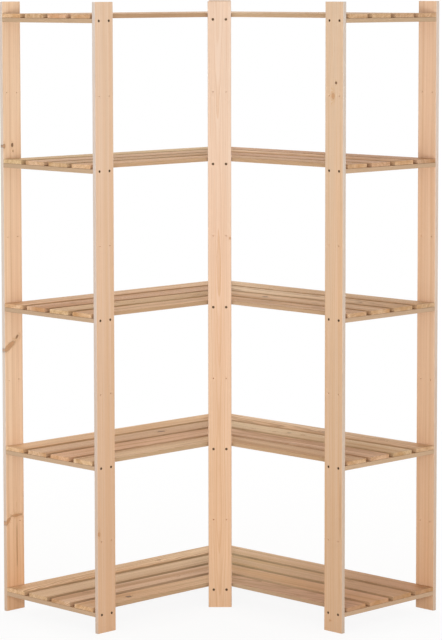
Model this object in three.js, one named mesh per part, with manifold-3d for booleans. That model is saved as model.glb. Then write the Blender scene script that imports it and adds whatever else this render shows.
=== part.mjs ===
// Slatted corner shelf unit in pine: six flat-board posts and five L-shaped shelves.
// Millimetres, +Z up. The object's origin is the middle of its bounding box, on the floor.
// The two walls of the room meet behind the (-X, +Y) corner. The right wing runs along +X
// against the back wall, and the left wing runs along -Y against the side wall.

import * as THREE from 'three';
import { mergeVertices } from 'three/addons/utils/BufferGeometryUtils.js';
import loadManifold from 'manifold-3d';

// Driving sizes.

const shelf = {
  count: 5,
  pitch: 400, // from one shelf to the next
  lowest: 50, // lowest screw row above the floor
  headroom: 50, // highest screw row below the top of the posts
};
const wing = {
  length: 855, // along the wall, from the room corner to the end of the wing
  slats: 4,
};
const frameBoard = { width: 65, thickness: 12, arris: 1.2 }; // posts and battens
const slatBoard = { width: 75, thickness: 11, arris: 1.5, gap: 19, setback: 9 };
const screw = {
  edge: 14.5, // hole centre to the long edge of the board
  shankHole: 4.2,
  headHole: 7.6,
  headDepth: 1.7,
};
const fit = 0.3; // clearance left wherever two boards meet
const mitreJoint = 1; // open joint between the mitred ends of the two wings
const overrun = 2; // how far the cutting tools reach past the wood

// Sizes that follow from them. Depths count from the wall, heights from the floor.

const postHeight = shelf.lowest + (shelf.count - 1) * shelf.pitch + shelf.headroom;
const slatStep = slatBoard.width + slatBoard.gap;
const firstSlat = frameBoard.thickness + fit;
const slatFront = firstSlat + wing.slats * slatStep - slatBoard.gap;
const frontPostBack = slatFront + slatBoard.setback;
const wingDepth = frontPostBack + frameBoard.thickness;
const halfBoard = frameBoard.width / 2;

// Places on the diagonal, measured from the room corner. The outer post fills the corner
// with its back edges on the two walls. The inner post spans the front corner of the
// shelves, with its back edges on the front slats.
const outerPostBack = halfBoard;
const outerPostFront = outerPostBack + frameBoard.thickness;
const innerPostBack = (slatFront + fit) * Math.SQRT2 + halfBoard;
const innerPostFront = innerPostBack + frameBoard.thickness;

// Heights within one shelf, from its screw row, which is the middle of the battens.
const battenBottom = -frameBoard.thickness / 2;
const slatBottom = frameBoard.thickness / 2 + fit;

const screwOffset = halfBoard - screw.edge;
const holeSides = 14;
const arrisSteps = 2;
const quarterTurn = Math.PI / 2;

const wood = (color, roughness) =>
  new THREE.MeshStandardMaterial({ color, roughness, metalness: 0 });
const frontPine = wood(0xe2bf9b, 0.62);
const backPine = wood(0xdbb28a, 0.64);
const slatPine = wood(0xc99f78, 0.68);
const battenPine = wood(0xcfaa83, 0.7);

const manifold = await loadManifold();
manifold.setup();

// A closed geometry as a solid that can be cut and joined.
function toSolid(geometry) {
  const flat = geometry.index ? geometry.toNonIndexed() : geometry;
  const bare = new THREE.BufferGeometry();
  bare.setAttribute('position', flat.getAttribute('position'));
  const merged = mergeVertices(bare);
  return new manifold.Manifold(
    new manifold.Mesh({
      numProp: 3,
      vertProperties: merged.getAttribute('position').array,
      triVerts: new Uint32Array(merged.index.array),
    }),
  );
}

// A solid back as a flat-shaded geometry.
function toGeometry(solid) {
  const mesh = solid.getMesh();
  const indexed = new THREE.BufferGeometry();
  indexed.setAttribute('position', new THREE.BufferAttribute(mesh.vertProperties, 3));
  indexed.setIndex(new THREE.BufferAttribute(mesh.triVerts, 1));
  const geometry = indexed.toNonIndexed();
  geometry.computeVertexNormals();
  return geometry;
}

function shelfHeight(level) {
  return shelf.lowest + level * shelf.pitch;
}

// A planed board: its outline in plan, extruded upwards, with all edges eased.
function boardGeometry(outline, { thickness, arris }) {
  const geometry = new THREE.ExtrudeGeometry(new THREE.Shape(outline), {
    depth: thickness - 2 * arris,
    bevelEnabled: true,
    bevelSize: arris,
    bevelOffset: -arris,
    bevelThickness: arris,
    bevelSegments: arrisSteps,
  });
  return geometry.translate(0, 0, arris);
}

function rectangle(left, right, bottom, top) {
  return [
    new THREE.Vector2(left, bottom),
    new THREE.Vector2(right, bottom),
    new THREE.Vector2(right, top),
    new THREE.Vector2(left, top),
  ];
}

// One countersunk screw hole along +Y, with its mouth on the plane y = 0.
function screwHoleSolid() {
  const head = screw.headHole / 2;
  const shank = screw.shankHole / 2;
  const farEnd = frameBoard.thickness + overrun;
  return toSolid(
    new THREE.LatheGeometry(
      [
        new THREE.Vector2(0, -overrun),
        new THREE.Vector2(head, -overrun),
        new THREE.Vector2(head, 0),
        new THREE.Vector2(shank, screw.headDepth),
        new THREE.Vector2(shank, farEnd),
        new THREE.Vector2(0, farEnd),
      ],
      holeSides,
    ),
  );
}

// A post that stands on the floor, with a pair of screw holes at every shelf. The face with
// the screw heads lies on the plane y = 0 and looks along -Y, and the wood is behind it.
function postSolid() {
  const board = boardGeometry(
    rectangle(-halfBoard, halfBoard, 0, postHeight),
    frameBoard,
  );
  board.rotateX(quarterTurn).translate(0, frameBoard.thickness, 0);
  const hole = screwHoleSolid();
  const holes = [];
  for (let level = 0; level < shelf.count; level++) {
    for (const side of [-1, 1]) {
      holes.push(hole.translate([side * screwOffset, 0, shelfHeight(level)]));
    }
  }
  return toSolid(board).subtract(manifold.Manifold.union(holes));
}

// A batten on the diagonal, under the mitres of a shelf. It lies in the outer post's own
// frame, that of postSolid, and runs along +Y from start to the back of the inner post.
function diagonalBatten(start) {
  const end = innerPostBack - fit - outerPostBack;
  return boardGeometry(rectangle(-halfBoard, halfBoard, start, end), frameBoard);
}

// The outer corner post is one body with the topmost diagonal batten, rooted in the post.
function outerCornerSolid(upright) {
  const batten = diagonalBatten(frameBoard.thickness / 2);
  batten.translate(0, 0, shelfHeight(shelf.count - 1) + battenBottom);
  return upright.add(toSolid(batten));
}

// The outline of a slat of the right wing, seen from above with the room corner at the
// origin; slat 0 lies at the wall. Its inner end is cut on the diagonal, half the mitre
// joint short of it. The tip at the wall is also cut off, just clear of the outer post.
function slatOutline(index) {
  const near = firstSlat + index * slatStep;
  const far = near + slatBoard.width;
  const mitre = mitreJoint * Math.SQRT1_2;
  const tipCut = (outerPostFront + fit) * Math.SQRT2;
  const onMitre = (depth) => new THREE.Vector2(depth + mitre, -depth);
  const outline = [
    new THREE.Vector2(wing.length, -far),
    new THREE.Vector2(wing.length, -near),
  ];
  if (2 * near + mitre < tipCut) {
    outline.push(new THREE.Vector2(tipCut - near, -near));
    outline.push(onMitre((tipCut - mitre) / 2));
  } else {
    outline.push(onMitre(near));
  }
  outline.push(onMitre(far));
  return outline;
}

// The outline on the other side of the diagonal, still counter-clockwise.
function mirrored(outline) {
  return outline.map((point) => new THREE.Vector2(-point.y, -point.x)).reverse();
}

function onDiagonal(distance) {
  const reach = distance * Math.SQRT1_2;
  return new THREE.Vector3(reach, -reach, 0);
}

function addPiece(parent, name, geometry, material) {
  const piece = new THREE.Mesh(geometry, material);
  piece.name = name;
  parent.add(piece);
  return piece;
}

// The unit has the room corner as its origin.
const unit = new THREE.Group();
unit.position.set(-wing.length / 2, wing.length / 2, 0);

// Each upright has the place of the middle of its screw face and the turn that makes this
// face look away from the shelves.
const endPost = wing.length - halfBoard;
const outerCorner = { place: onDiagonal(outerPostBack), turn: -1.5 * quarterTurn };
const post = postSolid();
const postGeometry = toGeometry(post);
const uprights = [
  {
    name: 'right_front_post',
    place: new THREE.Vector3(endPost, -wingDepth, 0),
    turn: 0,
    geometry: postGeometry,
    material: frontPine,
  },
  {
    name: 'right_back_post',
    place: new THREE.Vector3(endPost, 0, 0),
    turn: 2 * quarterTurn,
    geometry: postGeometry,
    material: backPine,
  },
  {
    name: 'left_front_post',
    place: new THREE.Vector3(wingDepth, -endPost, 0),
    turn: quarterTurn,
    geometry: postGeometry,
    material: frontPine,
  },
  {
    name: 'left_back_post',
    place: new THREE.Vector3(0, -endPost, 0),
    turn: -quarterTurn,
    geometry: postGeometry,
    material: backPine,
  },
  {
    name: 'inner_corner_post',
    place: onDiagonal(innerPostFront),
    turn: quarterTurn / 2,
    geometry: postGeometry,
    material: frontPine,
  },
  {
    name: 'outer_corner_post',
    ...outerCorner,
    geometry: toGeometry(outerCornerSolid(post)),
    material: backPine,
  },
];
for (const { name, place, turn, geometry, material } of uprights) {
  const piece = addPiece(unit, name, geometry, material);
  piece.position.copy(place);
  piece.rotation.z = turn;
}

// The end battens lie between the posts, flush with the end of the wing.
const endBatten = rectangle(
  wing.length - frameBoard.width,
  wing.length,
  -frontPostBack + fit,
  -frameBoard.thickness - fit,
);

// Shelves, counted from the floor, with slats counted from the wall. The diagonal batten of
// the topmost shelf is part of the outer corner post.
for (let level = 0; level < shelf.count; level++) {
  const layer = new THREE.Group();
  layer.position.z = shelfHeight(level);
  unit.add(layer);
  if (level < shelf.count - 1) {
    const batten = diagonalBatten(frameBoard.thickness + fit);
    const name = `shelf_${level + 1}_diagonal_batten`;
    const piece = addPiece(layer, name, batten, battenPine);
    piece.position.copy(outerCorner.place).setZ(battenBottom);
    piece.rotation.z = outerCorner.turn;
  }
  for (const [side, place] of [['right', (plan) => plan], ['left', mirrored]]) {
    const prefix = `shelf_${level + 1}_${side}`;
    for (let index = 0; index < wing.slats; index++) {
      const slat = boardGeometry(place(slatOutline(index)), slatBoard);
      addPiece(layer, `${prefix}_slat_${index + 1}`, slat, slatPine).position.z =
        slatBottom;
    }
    const batten = boardGeometry(place(endBatten), frameBoard);
    addPiece(layer, `${prefix}_end_batten`, batten, battenPine).position.z =
      battenBottom;
  }
}

const cornerShelfUnit = new THREE.Group();
cornerShelfUnit.add(unit);

export default cornerShelfUnit;
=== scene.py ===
"""Corner shelf unit in pine: the looks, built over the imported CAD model.

Two slatted wings meet in the corner of a room. Every board is a surface worked out with numpy
in board coordinates, in metres, and put where its CAD node stands:

    a  along the grain, from the board's origin
    c  across the face, from the middle of the board
    n  through the thickness, from the middle of the board, towards its show face

The row frame has +Z up and the room corner at (-X, +Y). The right wing runs along +X and the
left wing along -Y, so the photograph's camera looks in from (+X, -Y).
"""

from __future__ import annotations

import logging
import math
import zlib
from collections.abc import Callable, Iterable, Iterator
from dataclasses import dataclass, replace
from enum import Enum
from functools import reduce

import bpy
import numpy as np
from mathutils import Euler, Matrix, Vector

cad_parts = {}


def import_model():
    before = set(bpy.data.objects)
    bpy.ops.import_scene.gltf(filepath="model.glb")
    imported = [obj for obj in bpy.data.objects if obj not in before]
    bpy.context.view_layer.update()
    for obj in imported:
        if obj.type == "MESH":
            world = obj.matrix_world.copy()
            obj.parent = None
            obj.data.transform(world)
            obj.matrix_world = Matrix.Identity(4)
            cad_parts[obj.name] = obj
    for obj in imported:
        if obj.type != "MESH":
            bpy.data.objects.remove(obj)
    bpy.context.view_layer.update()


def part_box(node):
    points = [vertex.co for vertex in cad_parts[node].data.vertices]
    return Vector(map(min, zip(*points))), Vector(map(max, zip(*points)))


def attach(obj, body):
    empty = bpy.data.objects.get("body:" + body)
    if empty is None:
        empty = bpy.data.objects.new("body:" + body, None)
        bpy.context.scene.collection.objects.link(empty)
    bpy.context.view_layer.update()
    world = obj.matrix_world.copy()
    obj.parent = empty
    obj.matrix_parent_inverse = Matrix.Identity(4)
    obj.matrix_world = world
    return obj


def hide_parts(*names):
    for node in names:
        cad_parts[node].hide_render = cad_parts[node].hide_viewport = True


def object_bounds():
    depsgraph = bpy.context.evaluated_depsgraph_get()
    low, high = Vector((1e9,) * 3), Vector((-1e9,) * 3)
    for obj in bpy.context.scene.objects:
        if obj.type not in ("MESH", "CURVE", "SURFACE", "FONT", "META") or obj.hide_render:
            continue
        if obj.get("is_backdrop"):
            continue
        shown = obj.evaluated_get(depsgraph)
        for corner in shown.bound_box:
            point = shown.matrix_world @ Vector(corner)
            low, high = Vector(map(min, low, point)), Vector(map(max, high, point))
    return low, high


log = logging.getLogger("corner_shelf")

MM = 0.001
UP = np.array([0.0, 0.0, 1.0])
WHITE = (1.0, 1.0, 1.0)
IMAGE_HEIGHT = 640
CUT_ATTRIBUTE = "sawn_share"
GRID_DIGITS = 6  # grid lines that agree to a micrometre are one line
TINY = 1e-12  # a length to divide by where there is none
SLIVER = 1e-9  # keeps the recess of a screw from dividing by zero
FACTOR, FIRST_COLOUR, SECOND_COLOUR, MIXED_COLOUR = 0, 6, 7, 2  # sockets of a Mix node

Line = Callable[[np.ndarray], np.ndarray]
Triple = tuple[float, float, float]
Span = tuple[float, float]
Sockets = dict[str, tuple[str, ...]]
Weights = dict[str, float]
Socket = bpy.types.NodeSocket


class Wing(Enum):
    """The two wings as seen in the photograph: (along the wall, from the wall inwards)."""

    RIGHT = ((1.0, 0.0, 0.0), (0.0, -1.0, 0.0))
    LEFT = ((0.0, -1.0, 0.0), (1.0, 0.0, 0.0))

    @property
    def label(self) -> str:
        """The wing's word in node names."""
        return self.name.lower()

    @property
    def along(self) -> np.ndarray:
        """Unit vector from the room corner along the wall."""
        return np.array(self.value[0])

    @property
    def inwards(self) -> np.ndarray:
        """Unit vector from the wall into the room."""
        return np.array(self.value[1])


DIAGONAL = (Wing.RIGHT.along + Wing.LEFT.along) / math.sqrt(2)
PHOTO_RIGHT = (Wing.RIGHT.along - Wing.LEFT.along) / math.sqrt(2)


class Cut(Enum):
    """How a face of a board was made, as the share of sawn end grain that it shows."""

    PLANED = 0.0
    DRILLED = 0.55
    SAWN = 1.0


# Geometry


@dataclass(frozen=True, eq=False)
class Surface:
    """Quads over a list of vertices (n, 3).

    The quads (m, 4) are vertex numbers, anticlockwise from outside. The normals (m, 4, 3)
    shade their corners, and cut (m,) is the share of sawn end grain on each.
    """

    vertices: np.ndarray
    quads: np.ndarray
    normals: np.ndarray
    cut: np.ndarray

    @staticmethod
    def of(vertices: np.ndarray, quads: np.ndarray, normals: np.ndarray, cut: Cut) -> Surface:
        """A surface whose faces were all made in one way."""
        return Surface(vertices, quads, normals, np.full(len(quads), cut.value))

    @staticmethod
    def joined(vertices: np.ndarray, parts: Iterable[Surface], starts: np.ndarray) -> Surface:
        """Joins the faces of several surfaces over one list of vertices.

        Args:
            vertices: The list.
            parts: The surfaces.
            starts: Place in the list where the vertices of each surface start.

        Returns:
            One surface.
        """
        parts = list(parts)
        return Surface(
            vertices,
            np.concatenate([part.quads + start for part, start in zip(parts, starts)]),
            np.concatenate([part.normals for part in parts]),
            np.concatenate([part.cut for part in parts]),
        )

    def with_faces(self, *others: Surface) -> Surface:
        """Adds the faces of surfaces that count this one's vertices, or a longer list.

        Args:
            others: The surfaces whose faces are added.

        Returns:
            One surface with the longest of the lists.
        """
        parts = (self, *others)
        longest = max((part.vertices for part in parts), key=len)
        return Surface.joined(longest, parts, np.zeros(len(parts), dtype=int))

    @staticmethod
    def side_by_side(parts: list[Surface]) -> Surface:
        """Puts surfaces with vertices of their own into one mesh."""
        starts = np.cumsum([0] + [len(part.vertices) for part in parts])
        return Surface.joined(np.concatenate([part.vertices for part in parts]), parts, starts)


def unit(vectors: np.ndarray) -> np.ndarray:
    """The vectors of the last axis, brought to length 1."""
    return vectors / np.maximum(np.linalg.norm(vectors, axis=-1, keepdims=True), TINY)


def bands(rings: np.ndarray) -> np.ndarray:
    """Quads (rings - 1, points, 4) between neighbours in a stack of closed rings."""
    after = np.roll(rings, -1, axis=1)
    return np.stack([rings[:-1], rings[1:], after[1:], after[:-1]], axis=2)


def rungs(ring: np.ndarray) -> np.ndarray:
    """Quads that close an even ring, between its points i, i + 1 and their mirror images."""
    near, far = ring[: len(ring) // 2], ring[::-1][: len(ring) // 2]
    return np.stack([near[:-1], near[1:], far[1:], far[:-1]], axis=1)


def tube(
    vertices: np.ndarray, rings: np.ndarray, cut: Cut, crisp: tuple[int, ...] = ()
) -> Surface:
    """Bands of quads between rings of equally many points.

    A quad faces along the cross product of its diagonals. A corner is shaded by the mean of
    the two quads of its band that meet there, or in a crisp band by its own quad.

    Args:
        vertices: Points that the rings count.
        rings: Vertex numbers, (rings, points).
        cut: How the faces were made.
        crisp: Bands that are shaded flat.

    Returns:
        The bands, open at both ends.
    """
    quads = bands(rings)
    corner = vertices[quads]
    facing = unit(np.cross(corner[:, :, 2] - corner[:, :, 0], corner[:, :, 3] - corner[:, :, 1]))
    before, behind = (facing + np.roll(facing, step, axis=1) for step in (1, -1))
    shade = np.stack([before, before, behind, behind], axis=2)
    shade[list(crisp)] = facing[list(crisp)][:, :, None]
    return Surface.of(vertices, quads.reshape(-1, 4), unit(shade).reshape(-1, 4, 3), cut)


def lid(vertices: np.ndarray, ring: np.ndarray, facing: np.ndarray, cut: Cut) -> Surface:
    """Closes an even ring, counted anticlockwise from outside, with a face that looks one way."""
    quads = rungs(ring)
    return Surface.of(vertices, quads, np.broadcast_to(facing, (len(quads), 4, 3)), cut)


def circles(
    radii: np.ndarray, directions: np.ndarray, middle: list[float], levels: np.ndarray
) -> np.ndarray:
    """Rings round a middle: the point of radius r in the direction d lies at middle + r d.

    Args:
        radii: Radius of each ring, (rings, 1), or of each point, (rings, points).
        directions: Direction of each point, (points, 2).
        middle: The middle in the plane of the rings.
        levels: Third coordinate of each ring.

    Returns:
        The points, (rings, points, 3).
    """
    flat = radii[:, :, None] * directions + middle
    level = np.broadcast_to(levels[:, None, None], (*flat.shape[:2], 1))
    return np.concatenate([flat, level], axis=2)


@dataclass(frozen=True, eq=False)
class Placement:
    """Where a board lies: its origin, the way its grain runs and the way its face looks."""

    origin: np.ndarray
    along: np.ndarray
    facing: np.ndarray

    @property
    def across(self) -> np.ndarray:
        """The third direction: along, across and facing make a right-handed set."""
        return np.cross(self.facing, self.along)

    @property
    def axes(self) -> np.ndarray:
        """The three directions as the columns of a matrix."""
        return np.stack([self.along, self.across, self.facing], axis=1)

    def to_row(self, surface: Surface) -> Surface:
        """Carries a surface from board coordinates to the row frame."""
        points, normals = (part @ self.axes.T for part in (surface.vertices, surface.normals))
        return replace(surface, vertices=self.origin + points, normals=normals)

    def rotation(self) -> Euler:
        """The turn from board directions to row directions, as angles for a Mapping node."""
        return Matrix(self.axes.tolist()).to_euler("XYZ")


def straight(position: float) -> Line:
    """A square-cut end: the same place along the board at every distance across it."""
    return lambda across: np.full_like(across, position)


@dataclass(frozen=True)
class ScrewHole:
    """A countersunk hole in the show face, and the square patch of the face around it.

    A hole that is open on both faces is drawn from each of them to near the middle.
    """

    along: float = 0.0
    across: float = 0.0
    mouth_radius: float = 3.8 * MM
    shank_radius: float = 2.1 * MM
    cone_depth: float = 1.7 * MM
    depth: float = 3.6 * MM
    rim: float = 0.25 * MM
    patch: float = 6.6 * MM
    steps: int = 6
    both_faces: bool = False

    @property
    def offsets(self) -> np.ndarray:
        """Places of the grid lines through the patch, from its middle."""
        return np.linspace(-self.patch, self.patch, self.steps + 1)

    def pairs(self, heights: np.ndarray, offset: float) -> tuple[ScrewHole, ...]:
        """Such holes at every height, one on either side of the middle."""
        places = [(float(height), side * offset) for height in heights for side in (-1, 1)]
        return tuple(replace(self, along=along, across=across) for along, across in places)


@dataclass(frozen=True, eq=False)
class Board:
    """A planed board with eased long edges, cut to length by two end lines."""

    width: float
    thickness: float
    starts: Line
    ends: Line
    length: float
    arris: float = 1.3 * MM
    end_break: float = 0.5 * MM
    kinks: tuple[float, ...] = ()
    holes: tuple[ScrewHole, ...] = ()
    arris_steps: int = 4
    break_steps: int = 2
    station_step: float = 45 * MM
    least_spans: int = 2
    least_knots: int = 3
    unevenness: float = 0.22
    seed: int = 0

    def hole_lines(self, way: str) -> set[float]:
        """Places along or across the board where grid lines pass through the hole patches."""
        places = {getattr(hole, way) + step for hole in self.holes for step in hole.offsets}
        return {round(place, GRID_DIGITS) for place in places}

    def profile(self) -> tuple[np.ndarray, np.ndarray, np.ndarray, np.ndarray]:
        """The upper half of the section, from the left side over the face to the right side.

        At an angle q from 0 to 90 degrees the eased edge of radius r lies at
        c = -w/2 + r (1 - cos q) and n = t/2 - r (1 - sin q), and it is mirrored on the right.
        Between the edges lie the points where the face needs lines: kinks and hole patches.

        Returns:
            For every point, c without the radius, c per radius, n per radius, and the
            direction that it is shaded by.
        """
        angle = np.linspace(0, math.pi / 2, self.arris_steps + 1)
        kinks = {round(kink, GRID_DIGITS) for kink in self.kinks}
        middle = np.array(sorted(self.hole_lines("across") | kinks))
        flat = np.zeros(len(middle))
        side = np.full(len(angle), self.width / 2)
        sideways = np.concatenate([-np.cos(angle), flat, np.cos(angle[::-1])])
        outwards = np.concatenate([np.sin(angle), flat + 1, np.sin(angle[::-1])])
        return (
            np.concatenate([-side, middle, side]),
            np.concatenate([1 - np.cos(angle), flat, np.cos(angle[::-1]) - 1]),
            outwards - 1,
            np.stack([np.zeros_like(sideways), sideways, outwards], axis=1),
        )

    def stations(self) -> tuple[np.ndarray, np.ndarray, np.ndarray, np.ndarray]:
        """The cross-sections that the profile is carried through.

        The broken end edge is a quarter round of radius e: at an angle q its section is inset
        by e (1 - cos q), lies e (1 - sin q) from the end and leans out by sin q.

        Returns:
            For each section, its share of the way from end to end, its offset from there
            along the board, its inset, and how far its shading leans along the board.
        """
        angle = np.linspace(math.pi / 2, 0, self.break_steps + 1)
        inset = self.end_break * (1 - np.cos(angle))
        offset = self.end_break * (1 - np.sin(angle))
        count = max(self.least_spans, round(self.length / self.station_step))
        shares = np.linspace(0, 1, count + 1)[1:-1]
        if self.holes:
            at_holes = np.array(sorted(self.hole_lines("along"))) / self.length
            clear = self.holes[0].patch / self.length
            near = np.abs(shares[:, None] - at_holes).min(axis=1) < clear
            shares = np.sort(np.concatenate([shares[~near], at_holes]))
        still = np.zeros(len(shares))
        return (
            np.concatenate([np.zeros(len(angle)), shares, np.ones(len(angle))]),
            np.concatenate([offset, still, -offset[::-1]]),
            np.concatenate([inset, still, inset[::-1]]),
            np.concatenate([-np.sin(angle), still, np.sin(angle[::-1])]),
        )

    def surface(self) -> Surface:
        """The whole board in board coordinates.

        Row v, column j of the grid lies at c = C(j) + r(v) c'(j), n = t/2 + r(v) n'(j), with
        the section scaled in by its inset, and at a = s(v) of the way from the starting to
        the ending line at that c. The radius r(v) wanders a little along the board, as from
        a hand plane. The lower half of each section mirrors the upper one.

        Returns:
            The closed surface, with screw holes where the board has them.
        """
        edge, per_radius, drop, shade = self.profile()
        share, offset, inset, lean = self.stations()
        count = max(self.least_knots, round(self.length / self.station_step))
        knots = np.linspace(0, 1, count)
        wander = np.random.default_rng(self.seed).uniform(-1, 1, len(knots))
        radius = self.arris * (1 + self.unevenness * np.interp(share, knots, wander))[:, None]
        c = (edge + radius * per_radius) * (1 - 2 * inset / self.width)[:, None]
        n = (self.thickness / 2 + radius * drop) * (1 - 2 * inset / self.thickness)[:, None]
        begin, finish = self.starts(c), self.ends(c)
        a = begin + share[:, None] * (finish - begin) + offset[:, None]
        lower_half = np.stack([a, c, -n], axis=2)[:, ::-1]
        grid = np.concatenate([np.stack([a, c, n], axis=2), lower_half], axis=1)
        number = np.arange(grid[..., 0].size).reshape(grid.shape[:2])
        ring = np.concatenate([shade, (shade * [1, 1, -1])[::-1]])
        upright = np.sqrt(1 - lean**2)[:, None, None]
        corner_shade = (ring * upright + lean[:, None, None] * [1, 0, 0]).reshape(-1, 3)
        vertices, quads = grid.reshape(-1, 3), bands(number).reshape(-1, 4)
        whole = Surface.of(vertices, quads, corner_shade[quads], Cut.PLANED).with_faces(
            self.cap(vertices, number[0], begin[0], c[0], -1),
            self.cap(vertices, number[-1], finish[-1], c[-1], 1),
        )
        for hole in self.holes:
            for way in (1, -1) if hole.both_faces else (1,):
                whole = self.with_hole(whole, hole, number, grid, way)
        return whole

    def cap(
        self, vertices: np.ndarray, ring: np.ndarray, line: np.ndarray, c: np.ndarray, way: int
    ) -> Surface:
        """The sawn end: strips between matching points of the upper and the lower half.

        Args:
            vertices: Points of the board.
            ring: Vertex numbers of the section at this end.
            line: Place of the end along the board, at each point of the upper half.
            c: Distance across the board of the same points.
            way: -1 for the board's first end, 1 for its last one.

        Returns:
            The faces of the end, shaded flat.
        """
        slope = np.diff(line) / np.diff(c)
        normal = way * unit(np.stack([np.ones_like(slope), -slope, np.zeros_like(slope)], axis=1))
        quads = rungs(ring)[:, ::-way]
        return Surface.of(vertices, quads, np.repeat(normal[:, None], 4, axis=1), Cut.SAWN)

    def with_hole(
        self, whole: Surface, hole: ScrewHole, number: np.ndarray, grid: np.ndarray, way: int
    ) -> Surface:
        """Opens a countersunk hole in one of the broad faces.

        The square patch loses its quads. Rings of as many points as its outline take their
        place: the mouth and its rounding, the end of the cone and the shank hole, down to a
        floor, which a screw hides if there is one. A ring of depth d lies at n = t/2 - d. On
        the back face n has the other sign, and the grid's columns run the other way.

        Args:
            whole: The board so far.
            hole: The hole to open.
            number: Vertex numbers of the board's grid.
            grid: Points of the board's grid.
            way: 1 for the show face, -1 for the back.

        Returns:
            The board with the hole.
        """
        upper = grid.shape[1] // 2
        row = int(np.abs(grid[:, 0, 0] - (hole.along - hole.patch)).argmin())
        column = int(np.abs(grid[row, :upper, 1] - (hole.across - hole.patch)).argmin())
        if way < 0:
            column = grid.shape[1] - 1 - column - hole.steps
        block = number[row : row + hole.steps + 1, column : column + hole.steps + 1]
        outline = np.concatenate(
            [block[0, :-1], block[:-1, -1], block[-1, :0:-1], block[:0:-1, 0]]
        )
        kept = ~np.isin(whole.quads, block).all(axis=1)
        middle = [hole.along, hole.across]
        radii, depths = np.array(
            [
                (hole.mouth_radius + hole.rim, 0.0),
                (hole.mouth_radius, hole.rim),
                (hole.shank_radius, hole.cone_depth + hole.rim),
                (hole.shank_radius, hole.depth),
            ]
        ).T
        levels = way * (self.thickness / 2 - depths)
        directions = unit(whole.vertices[outline][:, :2] - middle)
        added = circles(radii[:, None], directions, middle, levels)
        counted = len(whole.vertices) + np.arange(added[..., 0].size).reshape(added.shape[:2])
        vertices = np.concatenate([whole.vertices, added.reshape(-1, 3)])
        rings = np.concatenate([outline[None], counted])
        left = Surface(vertices, whole.quads[kept], whole.normals[kept], whole.cut[kept])
        return left.with_faces(
            tube(vertices, rings[:2], Cut.PLANED, crisp=(0,)),
            tube(vertices, rings[1:], Cut.DRILLED),
            lid(vertices, rings[-1][::-1], way * UP, Cut.DRILLED),
        )


@dataclass(frozen=True)
class Screw:
    """A countersunk cross-head screw, drawn on the axis of its hole.

    The recess is given as rings, each with its share of the cross's reach and of its depth.
    """

    head_radius: float = 3.6 * MM
    sink: float = 0.35 * MM
    lip: float = 0.15 * MM
    head_height: float = 1.9 * MM
    shank_radius: float = 1.95 * MM
    core_radius: float = 1.45 * MM
    tip_share: float = 0.125
    length: float = 35 * MM
    plain_length: float = 9 * MM
    thread_end: float = 0.88
    thread_rings: int = 14
    recess_reach: float = 2.0 * MM
    recess_depth: float = 1.6 * MM
    recess_angle: float = 15.0
    recess: tuple[Span, ...] = ((0.5, 1.0), (0.82, 0.8), (1.0, 0.0), (1.05, 0.0))
    points: int = 24

    def surface(self, hole: ScrewHole, face_level: float) -> Surface:
        """The screw in board coordinates, as rings from the recess over the head to the tip.

        The recess is a cross: in the direction q it reaches to the larger of
        min(L / |cos q|, h / |sin q|) and the same with sine and cosine exchanged, where L is
        its reach and h = L tan 15 degrees. The thread alternates between two radii.

        Args:
            hole: The hole that the screw sits in.
            face_level: Level of the show face.

        Returns:
            The closed surface.
        """
        turn = 2 * math.pi * np.arange(self.points) / self.points
        reach = self.recess_reach
        arm = reach * math.tan(math.radians(self.recess_angle))
        cos, sin = np.abs(np.cos(turn)) + SLIVER, np.abs(np.sin(turn)) + SLIVER
        cross = np.maximum(
            np.minimum(reach / cos, arm / sin), np.minimum(reach / sin, arm / cos)
        )
        disc = np.ones(self.points)
        crests = np.arange(self.thread_rings)
        threads = np.where(crests % 2 == 0, self.shank_radius, self.core_radius)
        levels = np.linspace(self.plain_length, self.length * self.thread_end, len(crests))
        rings = [
            *((cross * wide, self.sink + self.recess_depth * deep) for wide, deep in self.recess),
            (disc * (self.head_radius - self.lip), self.sink),
            (disc * self.head_radius, self.sink + self.lip),
            (disc * self.shank_radius, self.sink + self.head_height),
            *((disc * radius, level) for radius, level in zip(threads, levels)),
            (disc * self.core_radius * self.tip_share, self.length),
        ]
        radii, depths = (np.array(column) for column in zip(*rings))
        directions = np.stack([np.cos(turn), np.sin(turn)], axis=1)
        points = circles(radii, directions, [hole.along, hole.across], face_level - depths)
        vertices = points.reshape(-1, 3)
        number = np.arange(len(vertices)).reshape(radii.shape)
        crisp = tuple(range(len(self.recess) - 1))
        return tube(vertices, number, Cut.PLANED, crisp).with_faces(
            lid(vertices, number[0], UP, Cut.PLANED),
            lid(vertices, number[-1][::-1], -UP, Cut.PLANED),
        )


def make_piece(name: str, surface: Surface, material: bpy.types.Material) -> bpy.types.Object:
    """Puts a surface into a new mesh object that sits at the origin.

    Args:
        name: Name of the object and its mesh.
        surface: The surface in the row frame.
        material: What the object is made of.

    Returns:
        The new object, in the scene.
    """
    used, quads = np.unique(surface.quads, return_inverse=True)
    mesh = bpy.data.meshes.new(name)
    mesh.from_pydata(surface.vertices[used].tolist(), [], quads.reshape(-1, 4).tolist())
    mesh.polygons.foreach_set("use_smooth", np.ones(len(surface.quads), dtype=bool))
    mesh.normals_split_custom_set(surface.normals.reshape(-1, 3).tolist())
    share = mesh.attributes.new(CUT_ATTRIBUTE, "FLOAT", "FACE")
    share.data.foreach_set("value", surface.cut.astype(np.float32))
    mesh.materials.append(material)
    mesh.update()
    return link(name, mesh)


def link(name: str, data: bpy.types.ID) -> bpy.types.Object:
    """Puts a mesh, lamp or camera into the scene as an object.

    Args:
        name: Name of the object.
        data: What it shows.

    Returns:
        The object.
    """
    thing = bpy.data.objects.new(name, data)
    bpy.context.scene.collection.objects.link(thing)
    return thing


# Materials


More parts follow.
